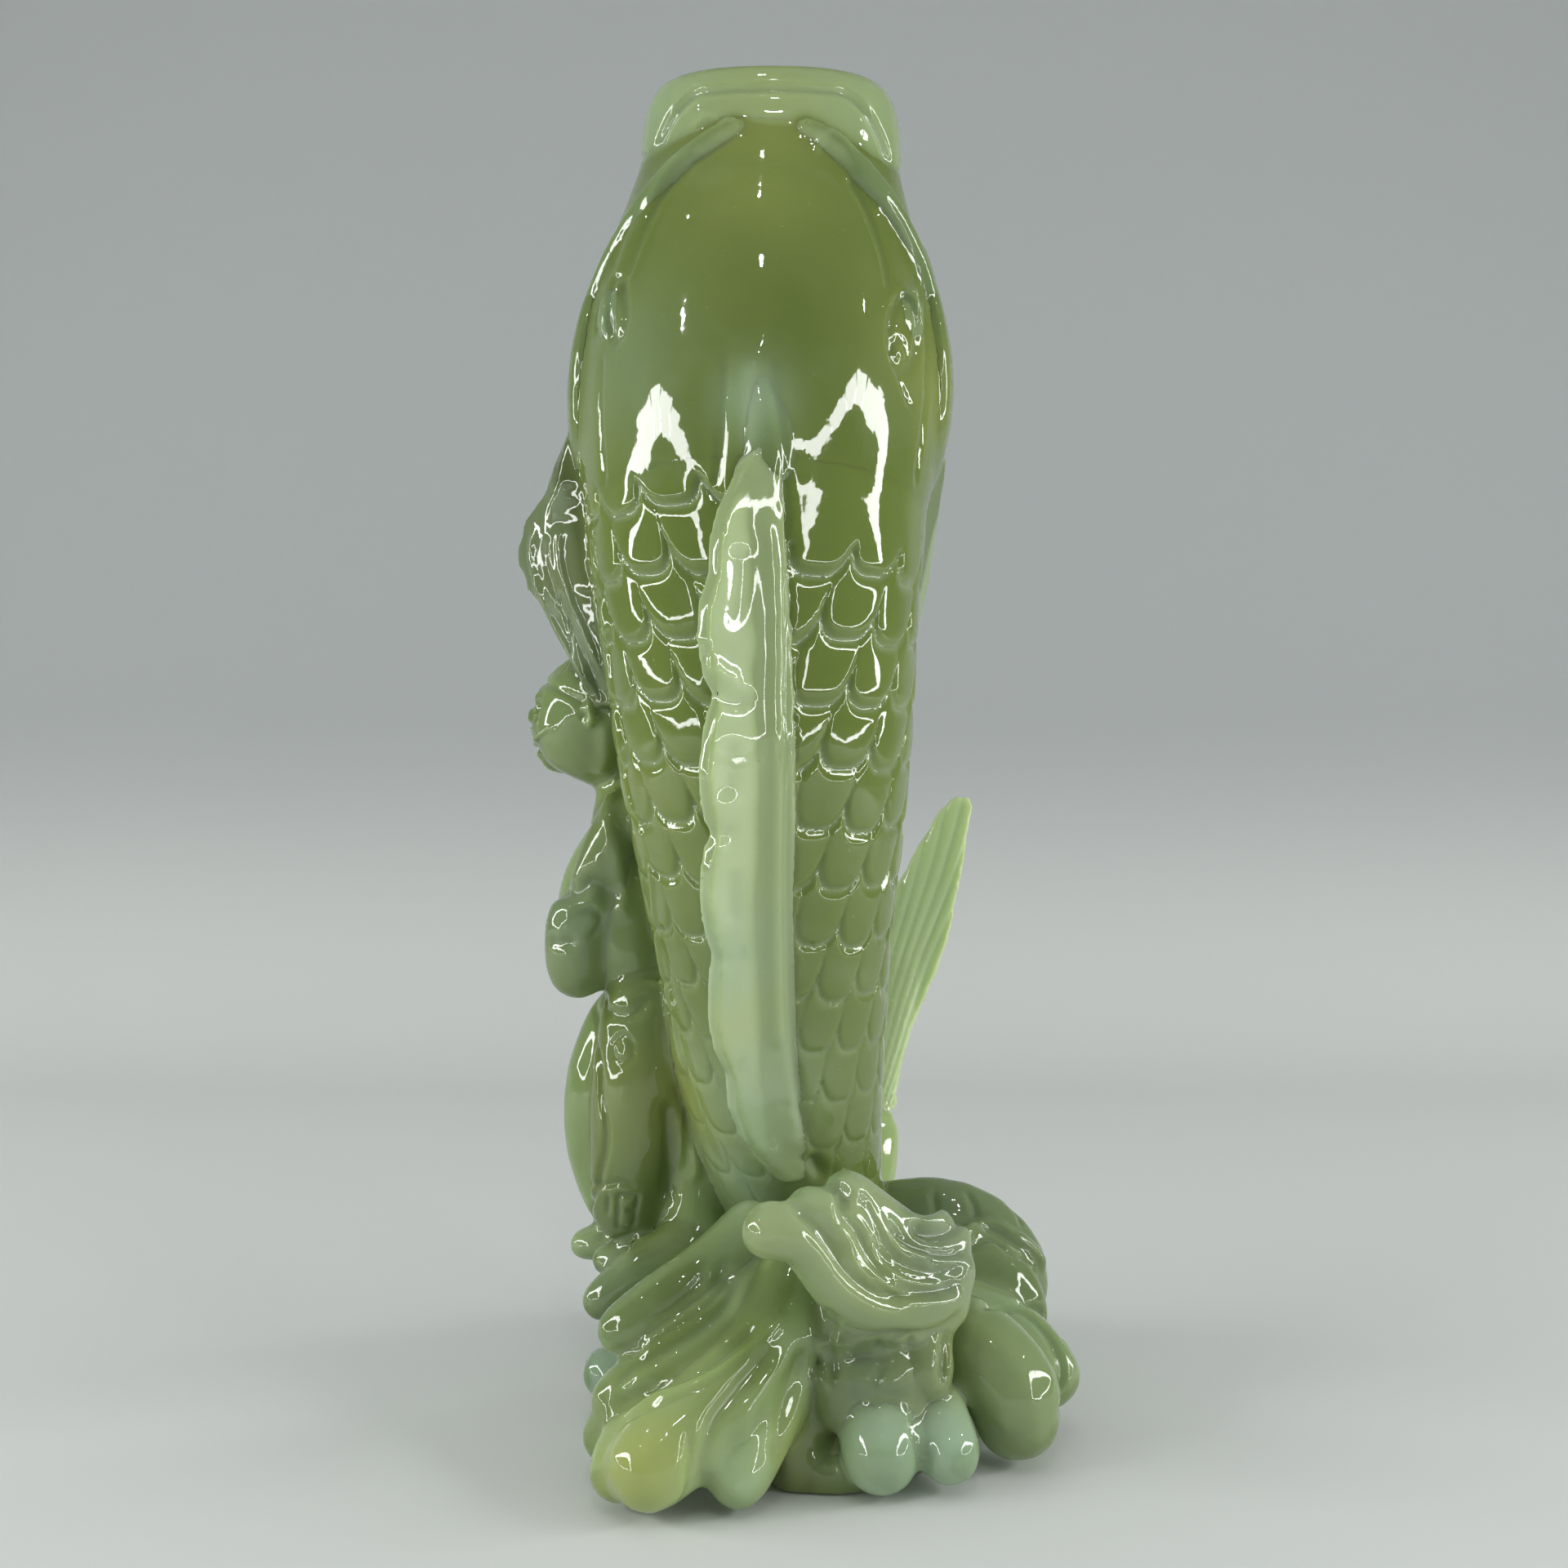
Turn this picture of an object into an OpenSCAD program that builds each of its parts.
// Jade carving of a leaping carp with a child leaning on its left flank, over breaking waves.
// Frame: origin at the centre of the ground-flat underside, +Z up, carp's back towards -Y,
// child on the -X flank. Every carved feature is its own solid, and the solids meet face to face.

/* [Whole carving] */
// Height from the ground-flat underside to the carp's upper lip
total_h = 240; // [200:10:300]

/* [Carp] */
// Width of the carp across its gills
carp_w = 68; // [60:1:72]
// Depth of the carp from back to belly
carp_d = 76; // [68:1:80]
// Thickness of the rolled lip round the mouth
lip_t = 5; // [4:0.5:6]
// Depth of the open mouth below the lip
mouth_depth = 20; // [12:1:24]
// Thickness of the fins at their roots
fin_t = 4; // [3:0.5:5]
// Height of the dorsal fin above the back
dorsal_h = 15; // [10:1:18]

/* [Child] */
// Radius of the child's head
head_r = 13; // [12:0.5:14]

/* [Waves] */
// Thickness of the flat slab under the waves
slab_t = 5; // [4:1:8]
// Width of the slab
slab_w = 64; // [56:1:72]
// Depth of the slab
slab_d = 72; // [64:1:80]

/* [Hidden] */

// One unit of the carving's own proportions, which are set out for a height of 243
u = total_h / 243;
// The carving is a little slimmer than its nominal proportions
girth = 0.983;
// Share of the nominal width and depth that the carp takes
carp_sx = carp_w / 68;
carp_sy = carp_d / 76;
back_side = [1, 0, 0];
jade_deep = "#7f9a52";
jade_mid = "#9fb57a";
jade_pale = "#c9d6a0";
jade_mint = "#a9c49c";

// Spine of the carp from mouth to tail root: x, y, z, half width, half depth
spine = [
    [-8.3, 2, 232, 23.4, 22.5],
    [-9, 2, 217, 27.8, 30],
    [-10, 1, 202, 31.9, 35],
    [-10.3, 0, 186, 34, 38],
    [-11, -2, 171, 32.4, 38.5],
    [-11, -4, 156, 30.4, 36.5],
    [-10.4, -5, 141, 28.8, 34],
    [-9.7, -6, 125, 27.3, 32],
    [-9, -6, 110, 25.2, 29],
    [-8.3, -5, 95, 22.9, 26],
    [-7.2, -3, 80, 20.6, 23],
    [-6.2, 0, 64, 18.9, 20],
    [-3.9, 5, 49, 16.6, 17],
    [-1, 14, 36, 14.4, 14.5],
    [3.5, 26, 29, 11.5, 11.5],
    [8.5, 37, 34, 8.5, 8.5],
    [12, 43, 48, 7, 5]
];
head_rows = 4;
stalk_row = 13;

// ---- Curves and skins ----

function unit(v) = v / norm(v);
function place(row) = [row[0], row[1], row[2]];

// Catmull-Rom curve through rows of numbers, where t counts rows
function through(rows, t) =
    let (n = len(rows), i = min(floor(t), n - 2), f = t - i,
        a = rows[max(i - 1, 0)], b = rows[i], c = rows[i + 1], d = rows[min(i + 2, n - 1)])
    0.5 * (2 * b + (c - a) * f + (2 * a - 5 * b + 4 * c - d) * f * f
        + (3 * b - a - 3 * c + d) * f * f * f);
function smooth(rows, steps, from = 0, to = undef) =
    let (last = is_undef(to) ? len(rows) - 1 : to)
    [for (i = [0:steps]) through(rows, from + (last - from) * i / steps)];

function heading(rows, i) =
    unit(place(rows[min(i + 1, len(rows) - 1)]) - place(rows[max(i - 1, 0)]));

// Elliptic section of a stroke, square to its heading, with its width along the side hint
function section(row, along, side, sides) =
    let (s = unit(side - (side * along) * along), n = cross(along, s))
    [for (j = [0:sides - 1])
        place(row) + s * row[3] * cos(360 * j / sides) + n * row[4] * sin(360 * j / sides)];

// A domed end: sections that shrink along a quarter circle
function domed(row, along, side, sides, way) =
    let (r = min(row[3], row[4]))
    [for (a = way < 0 ? [66, 36] : [36, 66])
        section([for (k = [0:4]) k < 3 ? row[k] + way * along[k] * r * sin(a)
            : row[k] * cos(a)], along, side, sides)];

// Closed solid through rings of equally many points
module skin(rings) {
    m = len(rings[0]);
    n = len(rings);
    points = [for (r = rings) each r];
    walls = [for (i = [0:n - 2], j = [0:m - 1])
        let (a = i * m + j, b = i * m + (j + 1) % m, c = a + m, d = b + m)
        each [[a, c, b], [b, c, d]]];
    first = [for (j = [0:m - 1]) j];
    last = [for (j = [m - 1:-1:0]) (n - 1) * m + j];
    polyhedron(points = points, faces = concat([first], walls, [last]), convexity = 6);
}

// Rounded stroke through rows of x, y, z, half width, half thickness
module stroke(rows, side = [0, 0, 1], steps = 8, sides = 12) {
    s = smooth(rows, steps);
    last = len(s) - 1;
    skin(concat(
        domed(s[0], heading(s, 0), side, sides, -1),
        [for (i = [0:last]) section(s[i], heading(s, i), side, sides)],
        domed(s[last], heading(s, last), side, sides, 1)
    ));
}

// Thin curved fin between a root line and a free edge, both rows of x, y, z
module fin(root, edge, root_t, edge_t, steps = 10, bulge = [0, 0, 0], scallops = 0, reach = 0) {
    r = smooth(root, steps);
    e0 = smooth(edge, steps);
    e = [for (i = [0:steps])
        e0[i] + unit(e0[i] - r[i] + [0, 0, 0.001]) * reach * abs(sin(180 * scallops * i / steps))];
    skin([for (i = [0:steps])
        let (run = r[min(i + 1, steps)] - r[max(i - 1, 0)],
            n = unit(cross(e[i] - r[i], run)),
            mid = (r[i] + e[i]) / 2 + bulge)
        [r[i] + n * root_t / 2, mid + n * (root_t + edge_t) / 4, e[i] + n * edge_t / 2,
            e[i] - n * edge_t / 2, mid - n * (root_t + edge_t) / 4, r[i] - n * root_t / 2]]);
}

// One closed mesh of a carved feature, scaled from the nominal proportions
module sized() {
    resize([0, 0, 0])
        scale([girth * u, girth * u, u])
            children();
}

// ---- Carp ----

function wide(row) = [row[0] * carp_sx, row[1] * carp_sy, row[2], row[3] * carp_sx, row[4] * carp_sy];
carp_spine = [for (r = spine) wide(r)];

// Point on the carp's skin at a spine position, turned from the back towards +X
function on_skin(t, turn, lift = 0) =
    let (r = through(carp_spine, t))
    [r[0] + (r[3] + lift) * sin(turn), r[1] - (r[4] + lift) * cos(turn), r[2]];

module spine_part(from, to, steps, sides) {
    s = smooth(carp_spine, steps, from, to);
    near = 0.02;
    skin([for (i = [0:steps])
        let (t = from + (to - from) * i / steps,
            before = through(carp_spine, max(t - near, 0)),
            after = through(carp_spine, min(t + near, len(spine) - 1)))
        section(s[i], unit(place(after) - place(before)), back_side, sides)]);
}

module trunk_raw() { spine_part(head_rows + 0.35, stalk_row, 18, 24); }
module stalk_raw() { spine_part(stalk_row, len(spine) - 1, 6, 24); }
module head_raw() { spine_part(0, head_rows + 0.35, 9, 24); }

// The mouth is a short tube with a rolled lip, squarer than the head
lip_top = 243;
lip_w = 23.6 * carp_sx;
lip_d = 21.6 * carp_sy;
// 2 makes the mouth's plan an ellipse, and more makes it squarer
lip_square = 2.6;
function mouth_ring_at(z, inset) =
    [for (j = [0:23])
        let (a = 15 * j,
            c = cos(a),
            s = sin(a),
            p = pow(pow(abs(c), lip_square) + pow(abs(s), lip_square), -1 / lip_square))
        [spine[0][0] * carp_sx + (lip_w - inset) * c * p, 2 * carp_sy + (lip_d - inset) * s * p, z]];

module mouth_raw() {
    skin([
        mouth_ring_at(lip_top - 33, 7.6),
        mouth_ring_at(lip_top - 27, 4),
        mouth_ring_at(lip_top - 20, 1.2),
        mouth_ring_at(lip_top - 14, 0.1),
        mouth_ring_at(lip_top - 9, 0),
        mouth_ring_at(lip_top - 5, 0.6),
        mouth_ring_at(lip_top - 2.5, 1.5),
        mouth_ring_at(lip_top - 0.9, 2.7),
        mouth_ring_at(lip_top, 3.9)
    ]);
}
module mouth_hollow() {
    skin([
        mouth_ring_at(lip_top - mouth_depth, lip_t + 10),
        mouth_ring_at(lip_top - mouth_depth * 0.85, lip_t + 3),
        mouth_ring_at(lip_top - mouth_depth * 0.5, lip_t + 0.6),
        mouth_ring_at(lip_top - mouth_depth * 0.2, lip_t),
        mouth_ring_at(lip_top + 1, lip_t - 1)
    ]);
}

// A gill cover is a low curved plate over the cheek
module gill_raw(way) {
    stroke([for (k = [0:4])
        let (p = on_skin(1.2 + k * 0.72, way * (86 + 3 * k), -0.6))
        [p[0], p[1], p[2], [7, 13, 15.5, 14, 6][k], [1.4, 2.2, 2.6, 2.4, 1.4][k]]],
        side = [0, 1, 0], steps = 7, sides = 12);
}

module eye_raw(way) {
    p = on_skin(2.25, way * 55, -1);
    stroke([[p[0], p[1], p[2] + 1.8, 3, 2.6], [p[0], p[1], p[2] - 1.4, 3.4, 2.8]],
        side = [cos(56), way * sin(56), 0], steps = 3, sides = 14);
}

module barbel_raw(way) {
    turns = [15, 27, 42, 55, 65, 72, 77];
    stroke([for (k = [0:6])
        let (p = on_skin([0.12, 0.36, 0.72, 1.12, 1.52, 1.95, 2.4][k], way * turns[k], k == 0 ? 0.9 : 0.3))
        [p[0], p[1], p[2], [1.4, 2.2, 2.6, 2.4, 2.1, 1.8, 1.4][k], [1.3, 1.9, 2.2, 2.1, 1.8, 1.5, 1.2][k]]],
        side = [1, 0, 0.1], steps = 10, sides = 8);
}

// Dorsal fin: leans towards -X as it stands off the back
dorsal_share = [0.1, 0.6, 0.88, 0.86, 0.92, 0.92, 0.88, 0.84, 0.8, 0.64, 0.3];
dorsal_turn = [4, 7, 8, 8, 8, 7, 5, 4, 3, 5, 9];
dorsal_root = [for (k = [0:10])
    let (p = on_skin(3.85 + 0.82 * k, dorsal_turn[k], -1.6)) [p[0], p[1], p[2]]];
dorsal_edge = [for (k = [0:10])
    let (r = dorsal_root[k], h = dorsal_h * dorsal_share[k] + 1.6)
    [r[0] - h * 0.76, r[1] - h * 0.65, r[2] - 1.5]];
module dorsal_raw() { fin(dorsal_root, dorsal_edge, fin_t + 2, 2.8, 24, [-0.8, -0.2, 0], 6, 1.8); }
module nape_raw() {
    stroke([for (k = [0:3])
        let (p = on_skin([3.15, 3.4, 3.75, 4.1][k], [1, 2, 4, 5][k], -1.2))
        [p[0], p[1], p[2], [2, 3.2, 4.2, 4][k], [1.8, 2.2, 2.6, 3][k]]],
        side = [1, 0, 0], steps = 6, sides = 12);
}

module left_pectoral_raw() {
    fin([[-40, -6, 182], [-40, -5, 174], [-39.5, -4, 165], [-38.5, -3, 155], [-37, -2, 145],
            [-35.5, 0, 131]],
        [[-43.5, -1, 183], [-50, 2, 170], [-55, 8, 163], [-54.5, 9, 155], [-50.5, 7, 149], [-40, 3, 131]],
        fin_t, 2.4, 15, [-1.6, -1, 0], 5, 1.2);
}
module right_pectoral_raw() {
    fin([[19, -2, 175], [18, 4, 165], [17, 8, 155], [15, 12, 146]],
        [[23.5, 8, 178], [22.5, 22, 166], [20.5, 30, 152], [16, 27, 136]],
        fin_t, 2.4, 14, [1.5, 0, 0], 4, 1.2);
}
module pelvic_raw(way) {
    fin([[way * 10 - 9.5, 20, 123], [way * 10 - 9.3, 19, 115], [way * 9 - 9, 17, 107]],
        [[way * 14 - 9.5, 35, 117], [way * 15 - 9, 36, 103], [way * 11 - 9, 25, 93]],
        fin_t, 2.2, 8, [way * 0.8, 0, 0], 2, 1);
}
module anal_raw() {
    fin([[-7.4, 18, 87], [-7, 18, 79], [-6.4, 18, 71]],
        [[-7.4, 28, 77], [-6.6, 31, 67], [-5.6, 25, 59]],
        fin_t, 2.2, 8, [0.6, 0, 0], 2, 1);
}

// The forked tail stands up behind the body on its stalk
module tail_right_raw() {
    fin([[9.5, 42.5, 47], [11, 43, 47.5], [12.5, 43.3, 48], [14, 43.6, 48.5], [15.5, 43.8, 49],
            [17, 44, 49]],
        [[15, 48, 88], [26.5, 47, 109], [33, 46, 111.5], [31, 45.4, 97], [26.5, 45, 78], [19, 44.4, 63]],
        fin_t + 0.8, 2, 16, [-0.5, 2, 0], 6, 0.9);
}
module tail_left_raw() {
    fin([[13, 43, 50], [11.5, 43, 49], [10, 42.6, 48], [8.5, 42.2, 47], [7, 41.6, 46], [5.5, 41, 45]],
        [[10, 48.5, 86], [-2, 50, 106], [-12, 51, 108], [-13, 49, 96], [-8, 47, 76], [-2, 44, 60]],
        fin_t + 0.8, 2, 16, [-0.5, 2.4, 0], 6, 0.9);
}

// ---- Child ----

child_at = [-42, 13, 129];
module child_head_raw() {
    stroke([[child_at[0] + 0.6, child_at[1], child_at[2] + 1.2, head_r - 0.4, head_r - 0.8],
        [child_at[0] - 0.4, child_at[1], child_at[2] - 0.8, head_r - 0.6, head_r - 0.6]],
        side = [0, 1, 0], steps = 2, sides = 18);
}
module topknot_raw() {
    stroke([[-37, 16, 138, 4.6, 4.6], [-34.5, 17.5, 143, 4.4, 4.4]],
        side = [0, 1, 0], steps = 2, sides = 12);
}
module torso_raw() {
    stroke([[-35.5, 12, 116, 6, 6.5], [-36, 12, 107, 7.4, 9.6], [-35.5, 12, 94, 8.2, 11.4],
        [-35, 12, 84, 8.6, 12]], side = [1, 0, 0], steps = 7, sides = 13);
}
module left_arm_raw() {
    stroke([[-36.5, 4, 110, 4.6, 5], [-39.4, 3, 104, 4.8, 5.2], [-41.4, 3.4, 98, 4.8, 5.2],
        [-44.8, 4.6, 91, 6.2, 6], [-45, 6, 82.4, 6.2, 6.4]], side = [1, 0, 0.2], steps = 10, sides = 12);
}
module right_arm_raw() {
    stroke([[-36.5, 21, 109, 4.8, 5], [-41, 24, 104, 5, 5], [-45, 24, 97, 5, 5],
        [-46.5, 20.5, 90, 4.6, 4.8]], side = [1, 0, 0.2], steps = 8, sides = 12);
}
module left_hand_raw() {
    stroke([[-46.4, 8, 84, 3.6, 3.6], [-48.2, 12.6, 86.4, 3, 3.2]],
        side = [1, 0, 0.2], steps = 3, sides = 12);
}
module right_hand_raw() {
    stroke([[-46.6, 19.5, 90, 3.4, 3.4], [-48.4, 15.6, 91.6, 3, 3]],
        side = [1, 0, 0.2], steps = 3, sides = 12);
}
module left_leg_raw() {
    stroke([[-32, 5, 74, 8.6, 8.6], [-33, 4.6, 61, 9.4, 9.2], [-33.6, 4.6, 48, 9, 9],
        [-35.4, 5, 38.5, 7.4, 7.6]], side = [1, 0, 0], steps = 7, sides = 13);
}
module right_leg_raw() {
    stroke([[-37, 16, 70, 7.6, 8], [-39.8, 16, 60, 8.6, 8.6], [-40, 16, 48, 8.6, 8.4],
        [-38.6, 16, 38, 6.8, 7]], side = [1, 0, 0], steps = 7, sides = 13);
}
module shoe_raw(x, y, z) {
    stroke([[x + 5, y, z + 1.4, 4.8, 3.8], [x, y, z + 0.6, 4.6, 3.6], [x - 4.5, y, z, 3.8, 3]],
        side = [0, 1, 0], steps = 4, sides = 12);
}
module left_shoe_raw() { shoe_raw(-35, 4.6, 28); }
module right_shoe_raw() { shoe_raw(-40.4, 16, 28); }

// ---- Waves ----

// Lobed outline of the flat underside
function slab_edge(a) = 1 + 0.05 * cos(5 * a + 20) + 0.035 * sin(7 * a);
slab_outline = [for (i = [0:47])
    let (a = 7.5 * i) slab_edge(a) * [slab_w / 2 * cos(a), slab_d / 2 * sin(a)]];
module slab() {
    linear_extrude(slab_t) polygon(slab_outline);
}
module mound_raw() {
    rows = smooth([[2, 1, slab_t - 0.01, 29, 36], [1, 4, 12, 27, 34], [-1, 8, 22, 21, 28],
        [-2, 12, 32, 14, 20], [-2, 13, 38, 9, 14]], 8);
    skin([for (r = rows)
        [for (j = [0:23]) [r[0] + r[3] * cos(15 * j), r[1] + r[4] * sin(15 * j), r[2]]]]);
}
module column_raw() {
    stroke([[-22, 10, 18, 11, 13], [-23, 10, 30, 9, 13], [-25, 11, 52, 7.5, 11], [-27.5, 12, 78, 7, 10],
        [-29, 12, 100, 5.5, 8]], side = [1, 0, 0], steps = 7, sides = 12);
}
// Strokes of one wave, each a list of rows
module wave(strokes, side = [0, 0, 1], sides = 9) {
    for (s = strokes) stroke(s, side, 2 * len(s) - 1, sides);
}

crest_front_centre_strokes = [
    [[21, -29, 30, 6, 5.4], [13.4, -35, 32, 7, 6.4], [5.6, -39, 35, 6.6, 6], [-0.6, -42, 40.6, 4.6, 4.6],
        [-4.2, -43, 44.4, 4.2, 4.4], [-8.2, -43, 45.2, 5.1, 5.3]],
    [[23, -28, 34.5, 4.6, 4.4], [12, -34, 38.4, 5, 4.8], [4.5, -38, 44, 4.6, 4.4],
        [-1.6, -39, 47.4, 4.4, 4.4]],
    [[23, -25, 39, 4.2, 4], [16, -28, 40, 4.4, 4.2], [10, -33, 44.6, 4.6, 4.4], [4.6, -35, 49.4, 4.2, 4.2]]
];
swell_front_centre_strokes = [
    [[9.4, -29, 33, 8.6, 7.8], [10.6, -32.2, 23, 9.2, 8.4], [11.8, -30, 14, 9.4, 8]],
    [[3, -32, 30, 4.4, 4.4], [2.8, -36, 22, 4.4, 4.4], [3.2, -34.6, 14, 4.2, 4]],
    [[18, -30, 28, 4.6, 4.6], [18.8, -32.6, 19, 4.4, 4.4]],
    [[-1.4, -23, 28, 7, 6], [-2.6, -27.6, 18, 7.4, 6.2], [-3, -29.6, 10, 7.4, 6.2], [-3.4, -31.4, 3, 7.2, 6]]
];
lobes_front_centre_strokes = [
    [[10.4, -33, 11.6, 7.4, 6.8], [10.2, -38.6, 7.8, 7.4, 7]],
    [[20, -30, 11, 6, 5.6], [21.8, -36.4, 7, 5.7, 5.5]]
];
crest_front_left_strokes = [
    [[-4, -27, 34, 6, 6], [-7, -33, 26, 7.4, 7.4], [-13, -38, 19, 7.8, 7.8], [-21, -43.6, 13.6, 8, 7.8],
        [-27.6, -48, 9, 7.6, 7.4]],
    [[-5, -30, 22, 6, 6], [-8.4, -37.4, 15, 6.2, 6], [-12, -43, 8.6, 5.8, 5.6],
        [-13.4, -45, 6.2, 5.4, 5.4]],
    [[-22, -36, 14, 6, 6], [-31, -41, 9, 6, 6], [-33, -43, 6.4, 5.4, 5.4]]
];
crest_mid_left_strokes = [
    [[-12, -19, 40, 4.8, 5], [-18, -25, 34.6, 5.6, 5.4], [-26, -29.4, 30, 5.6, 5.4],
        [-33.4, -30.6, 25.4, 4.8, 4.8]],
    [[-14, -20, 30, 4.6, 5.4], [-22, -24, 26, 5.4, 5.4], [-31, -25, 21, 4.8, 4.8]]
];
swell_mid_left_strokes = [
    [[-10, -23, 31, 6, 6], [-16, -30, 26, 7, 6.8], [-24, -34, 20.6, 7, 6.8], [-33, -35, 15, 5.8, 5.8]],
    [[-16, -26, 12, 8, 8], [-27, -33, 9, 7, 7], [-35, -33, 8.6, 5.4, 5.6]]
];
crest_right_strokes = [
    [[20, -14, 22, 7, 7], [28, -20, 19, 8.4, 8.4], [33.6, -23.4, 13.6, 8.6, 8.6],
        [34.6, -24, 9.4, 8.2, 8.2]],
    [[26, -5, 21, 6, 6], [35, -10, 18, 6.8, 6.8], [41, -13, 12.6, 6.6, 6.6]]
];
crest_right_rear_strokes = [
    [[6, 18, 28, 7, 7], [18, 15, 34, 7, 6.4], [30, 12.6, 32.6, 7.4, 6.4], [38, 11, 26, 6.6, 6.4],
        [38.6, 10, 20, 6, 6]],
    [[12, 2, 26, 7, 7], [24, 3, 29, 6.8, 6.4], [34, 2, 25, 6.8, 6.6], [37.6, 1, 19.4, 6.2, 6.2]],
    [[18, 14, 12, 9, 9], [32, 14, 11, 8.4, 8.4]]
];
crest_rear_right_strokes = [
    [[14, 30, 18, 8, 8], [22, 38, 21, 7.4, 7], [30, 42, 18, 6.4, 6], [34, 42, 12, 5.6, 5.6]],
    [[22, 28, 10, 9, 8], [33, 33, 9, 8, 7.4]]
];
crest_rear_centre_strokes = [
    [[2, 40, 18, 7, 7], [-1, 48, 21, 6.4, 6], [-6, 53, 18, 5.6, 5.4], [-9, 54, 12.6, 5.2, 5.2]],
    [[4, 40, 9, 9, 8], [6, 50, 7.6, 8, 6.8]]
];
crest_rear_left_strokes = [
    [[-12, 28, 22, 7, 7], [-20, 35, 24, 6.4, 6], [-27, 39, 20.4, 5.6, 5.4], [-31, 40, 14.6, 5, 5]],
    [[-22, 28, 9, 9, 8], [-32, 31, 8, 7.6, 7]]
];

// The floor plane cuts the lobes that come down to it
module above_floor() {
    intersection() {
        children();
        translate([-100, -100, 0]) cube([200, 200, 300]);
    }
}

module core() {
    mound_raw();
    slab();
}
module carp_core() {
    trunk_raw();
    stalk_raw();
}

// A wave crest with the mound, the slab and the carp cut out of it
module crest(strokes) {
    difference() {
        above_floor() wave(strokes);
        core();
        carp_core();
        children();
    }
}

// ---- Nodes ----

module base_slab() {
    color(jade_mid) linear_extrude(slab_t * u) polygon(girth * u * slab_outline);
}
module rock_mound() {
    color(jade_deep) sized() difference() { mound_raw(); carp_core(); }
}
module water_column() {
    color(jade_deep) sized() difference() { column_raw(); core(); carp_core(); }
}
module carp_trunk() { color(jade_deep) sized() trunk_raw(); }
module carp_tail_stalk() { color(jade_mid) sized() stalk_raw(); }
module carp_head() {
    color(jade_deep) sized() difference() { head_raw(); mouth_raw(); mouth_hollow(); }
}
module mouth_ring() {
    color(jade_mid) sized() difference() { mouth_raw(); mouth_hollow(); }
}
module gill_cover(way) {
    color(jade_mid) sized() difference() { gill_raw(way); head_raw(); trunk_raw(); }
}
module left_gill_cover() { gill_cover(-1); }
module right_gill_cover() { gill_cover(1); }
module eye(way) {
    color(jade_pale) sized() difference() { eye_raw(way); head_raw(); }
}
module left_eye() { eye(-1); }
module right_eye() { eye(1); }
module barbel(way) {
    color(jade_pale) sized() difference() {
        barbel_raw(way);
        head_raw();
        mouth_raw();
        gill_raw(way);
        eye_raw(way);
    }
}
module left_barbel() { barbel(-1); }
module right_barbel() { barbel(1); }
module dorsal_fin() {
    color(jade_pale) sized() difference() { dorsal_raw(); trunk_raw(); head_raw(); nape_raw(); }
}
module nape_ridge() {
    color(jade_mid) sized() difference() { nape_raw(); trunk_raw(); head_raw(); }
}
module left_pectoral_fin() {
    color(jade_mid) sized() difference() {
        left_pectoral_raw();
        trunk_raw();
        head_raw();
        gill_raw(-1);
    }
}
module right_pectoral_fin() {
    color(jade_mid) sized() difference() {
        right_pectoral_raw();
        trunk_raw();
        head_raw();
        gill_raw(1);
    }
}
module pelvic_fin(way) {
    color(jade_pale) sized() difference() { pelvic_raw(way); trunk_raw(); }
}
module left_pelvic_fin() { pelvic_fin(-1); }
module right_pelvic_fin() { pelvic_fin(1); }
module anal_fin() {
    color(jade_pale) sized() difference() { anal_raw(); carp_core(); }
}
module tail_lobe_right() {
    color(jade_pale) sized() difference() { tail_right_raw(); carp_core(); }
}
module tail_lobe_left() {
    color(jade_pale) sized() difference() { tail_left_raw(); carp_core(); tail_right_raw(); }
}

module child_head() {
    color(jade_mid) sized() difference() {
        child_head_raw();
        trunk_raw();
        left_pectoral_raw();
    }
}
module child_topknot() {
    color(jade_mid) sized() difference() {
        topknot_raw();
        trunk_raw();
        child_head_raw();
        left_pectoral_raw();
    }
}
module child_torso() {
    color(jade_deep) sized() difference() {
        torso_raw();
        trunk_raw();
        child_head_raw();
        column_raw();
    }
}
module child_left_arm() {
    color(jade_mid) sized() difference() {
        left_arm_raw();
        trunk_raw();
        torso_raw();
        child_head_raw();
        column_raw();
    }
}
module child_right_arm() {
    color(jade_mid) sized() difference() {
        right_arm_raw();
        trunk_raw();
        torso_raw();
        child_head_raw();
        left_arm_raw();
    }
}
module child_left_hand() {
    color(jade_mid) sized() difference() {
        left_hand_raw();
        left_arm_raw();
        right_arm_raw();
        torso_raw();
        right_leg_raw();
    }
}
module child_right_hand() {
    color(jade_mid) sized() difference() {
        right_hand_raw();
        right_arm_raw();
        left_arm_raw();
        torso_raw();
        left_hand_raw();
    }
}
module child_left_leg() {
    color(jade_deep) sized() difference() {
        left_leg_raw();
        trunk_raw();
        torso_raw();
        column_raw();
        left_arm_raw();
    }
}
module child_right_leg() {
    color(jade_deep) sized() difference() {
        right_leg_raw();
        trunk_raw();
        torso_raw();
        column_raw();
        left_leg_raw();
        left_arm_raw();
    }
}
module child_left_shoe() {
    color(jade_mid) sized() difference() {
        left_shoe_raw();
        left_leg_raw();
        column_raw();
        core();
    }
}
module child_right_shoe() {
    color(jade_mid) sized() difference() {
        right_shoe_raw();
        right_leg_raw();
        column_raw();
        core();
        left_leg_raw();
        left_shoe_raw();
    }
}

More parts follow.
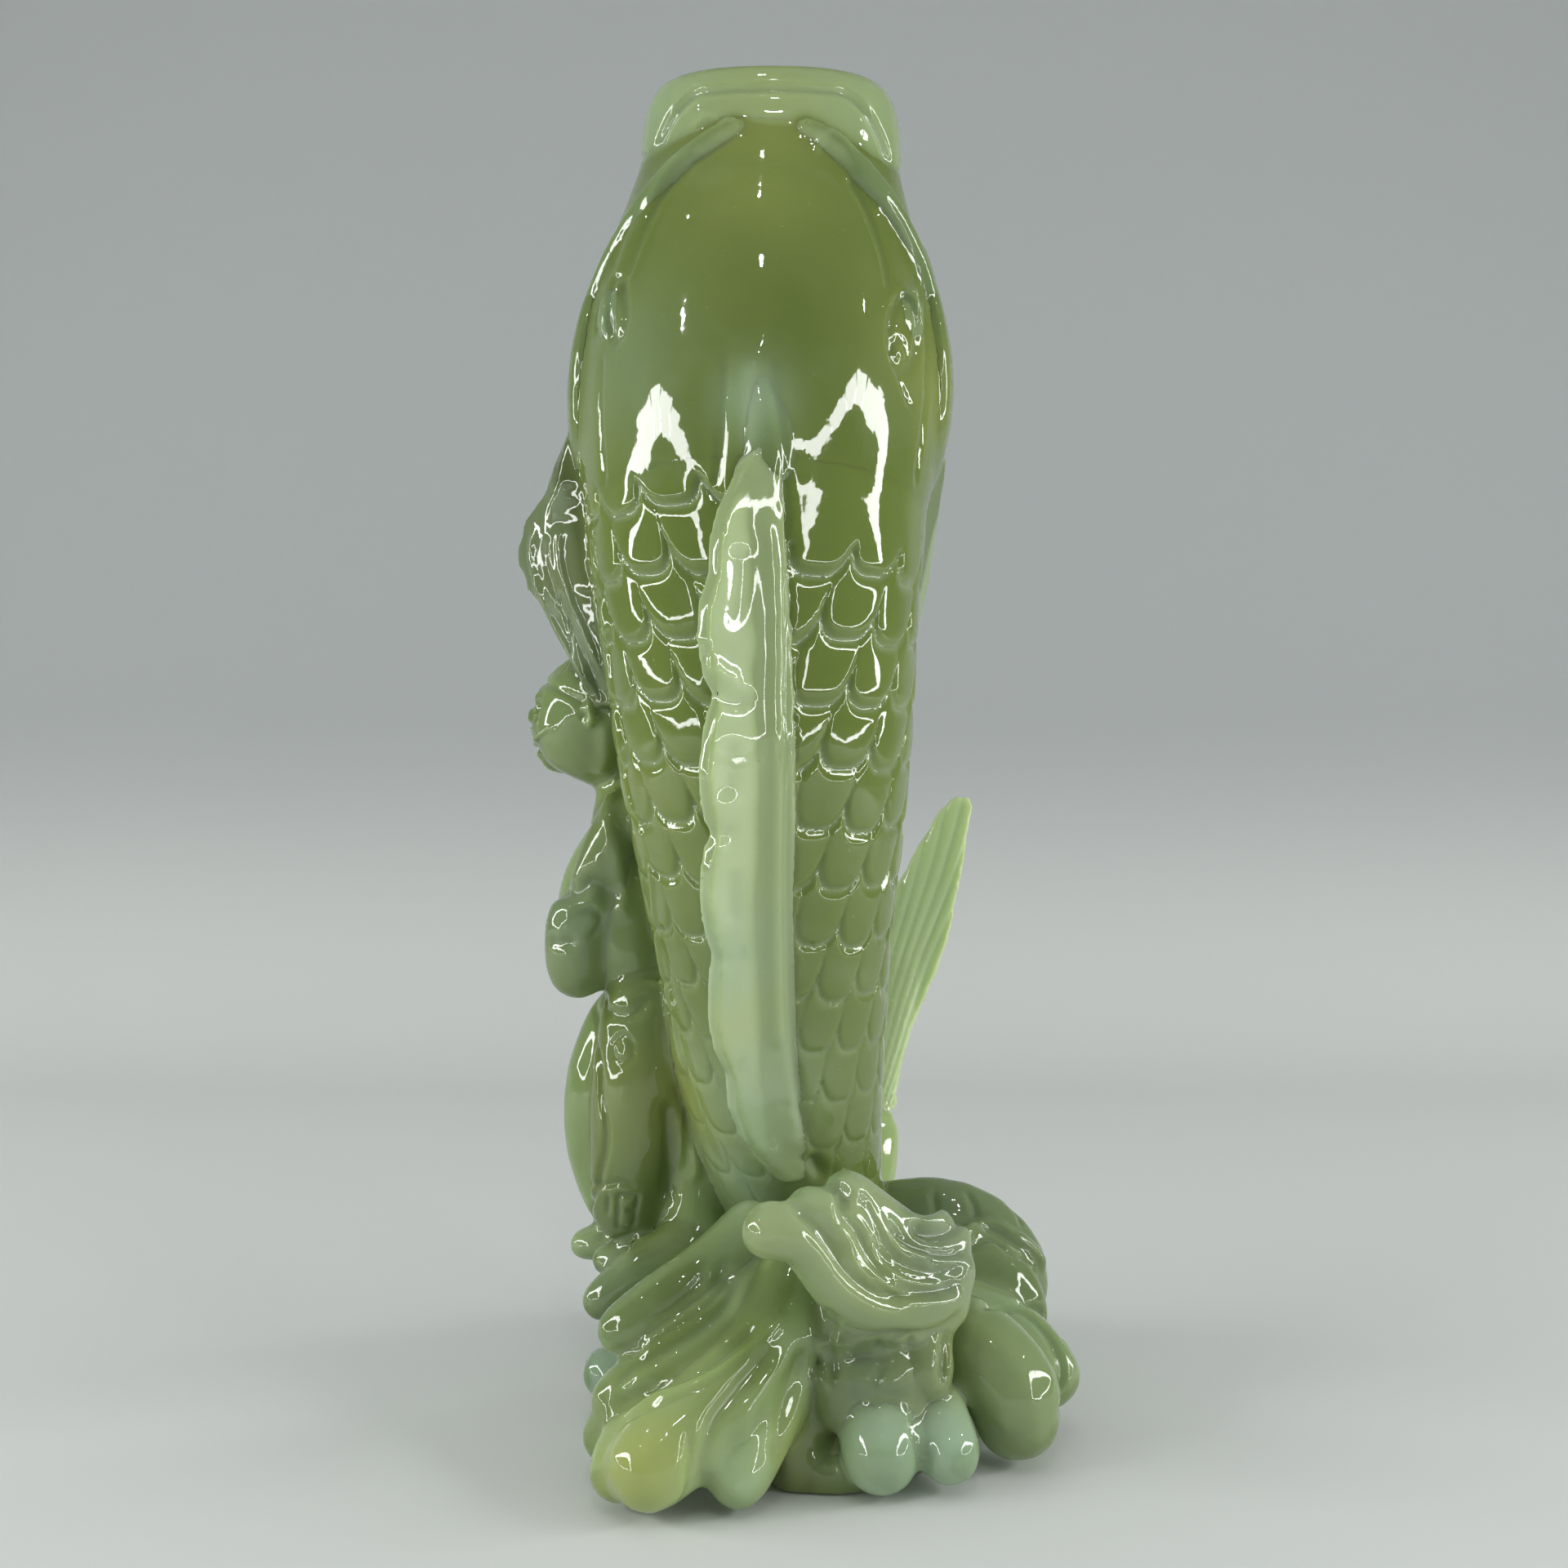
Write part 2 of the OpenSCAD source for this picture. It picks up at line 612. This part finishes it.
module crest_front_centre() { color(jade_pale) sized() crest(crest_front_centre_strokes); }
module swell_front_centre() {
    color(jade_mid) sized() crest(swell_front_centre_strokes) wave(crest_front_centre_strokes);
}
module lobes_front_centre() {
    color(jade_mint) sized() crest(lobes_front_centre_strokes) {
        wave(crest_front_centre_strokes);
        wave(swell_front_centre_strokes);
    }
}
module crest_front_left() {
    color(jade_mid) sized() crest(crest_front_left_strokes) {
        wave(crest_front_centre_strokes);
        wave(swell_front_centre_strokes);
    }
}
module crest_mid_left() {
    color(jade_mid) sized() crest(crest_mid_left_strokes) {
        wave(crest_front_left_strokes);
        wave(crest_front_centre_strokes);
        column_raw();
    }
}
module swell_mid_left() {
    color(jade_mid) sized() crest(swell_mid_left_strokes) {
        wave(crest_front_left_strokes);
        wave(crest_mid_left_strokes);
        column_raw();
    }
}
module dome_left_raw() {
    stroke([[-22, -10, 16, 8, 8], [-27.4, -14, 22.4, 7, 7]], steps = 3, sides = 14);
}
module finger_left_raw() {
    stroke([[-25, -1, 32, 4.6, 4.2], [-33, -2, 27.6, 4.2, 4], [-39.8, -2.6, 22.4, 3.9, 3.8]],
        steps = 6, sides = 12);
}
module lobe_left_raw() {
    stroke([[-22, -4, 9, 8, 8], [-32, -5, 9, 6.6, 6.6], [-38, -5, 10, 5.2, 5.4]], steps = 6, sides = 12);
}
module dome_left() {
    color(jade_mint) sized() difference() {
        dome_left_raw();
        core();
        carp_core();
        wave(crest_mid_left_strokes);
        wave(swell_mid_left_strokes);
        column_raw();
        wave(crest_front_left_strokes);
    }
}
module finger_left() {
    color(jade_deep) sized() difference() {
        finger_left_raw();
        core();
        column_raw();
        dome_left_raw();
        left_shoe_raw();
        right_shoe_raw();
    }
}
module lobe_left() {
    color(jade_mint) sized() difference() {
        above_floor() lobe_left_raw();
        core();
        column_raw();
        finger_left_raw();
        dome_left_raw();
        wave(crest_mid_left_strokes);
        wave(swell_mid_left_strokes);
    }
}
module crest_right() {
    color(jade_mid) sized() crest(crest_right_strokes) {
        wave(crest_front_centre_strokes);
        wave(swell_front_centre_strokes);
        wave(lobes_front_centre_strokes);
    }
}
module crest_right_rear() {
    color(jade_deep) sized() crest(crest_right_rear_strokes) {
        wave(crest_right_strokes);
        wave(crest_front_centre_strokes);
    }
}
module crest_rear_right() {
    color(jade_mid) sized() crest(crest_rear_right_strokes) wave(crest_right_rear_strokes);
}
module crest_rear_centre() {
    color(jade_mid) sized() crest(crest_rear_centre_strokes) wave(crest_rear_right_strokes);
}
module crest_rear_left() {
    color(jade_mid) sized() crest(crest_rear_left_strokes) {
        wave(crest_rear_centre_strokes);
        column_raw();
    }
}

base_slab();
rock_mound();
water_column();
carp_trunk();
carp_tail_stalk();
carp_head();
mouth_ring();
left_gill_cover();
right_gill_cover();
left_eye();
right_eye();
left_barbel();
right_barbel();
dorsal_fin();
nape_ridge();
left_pectoral_fin();
right_pectoral_fin();
left_pelvic_fin();
right_pelvic_fin();
anal_fin();
tail_lobe_right();
tail_lobe_left();
child_head();
child_topknot();
child_torso();
child_left_arm();
child_right_arm();
child_left_hand();
child_right_hand();
child_left_leg();
child_right_leg();
child_left_shoe();
child_right_shoe();
crest_front_centre();
swell_front_centre();
lobes_front_centre();
crest_front_left();
crest_mid_left();
swell_mid_left();
dome_left();
finger_left();
lobe_left();
crest_right();
crest_right_rear();
crest_rear_right();
crest_rear_centre();
crest_rear_left();
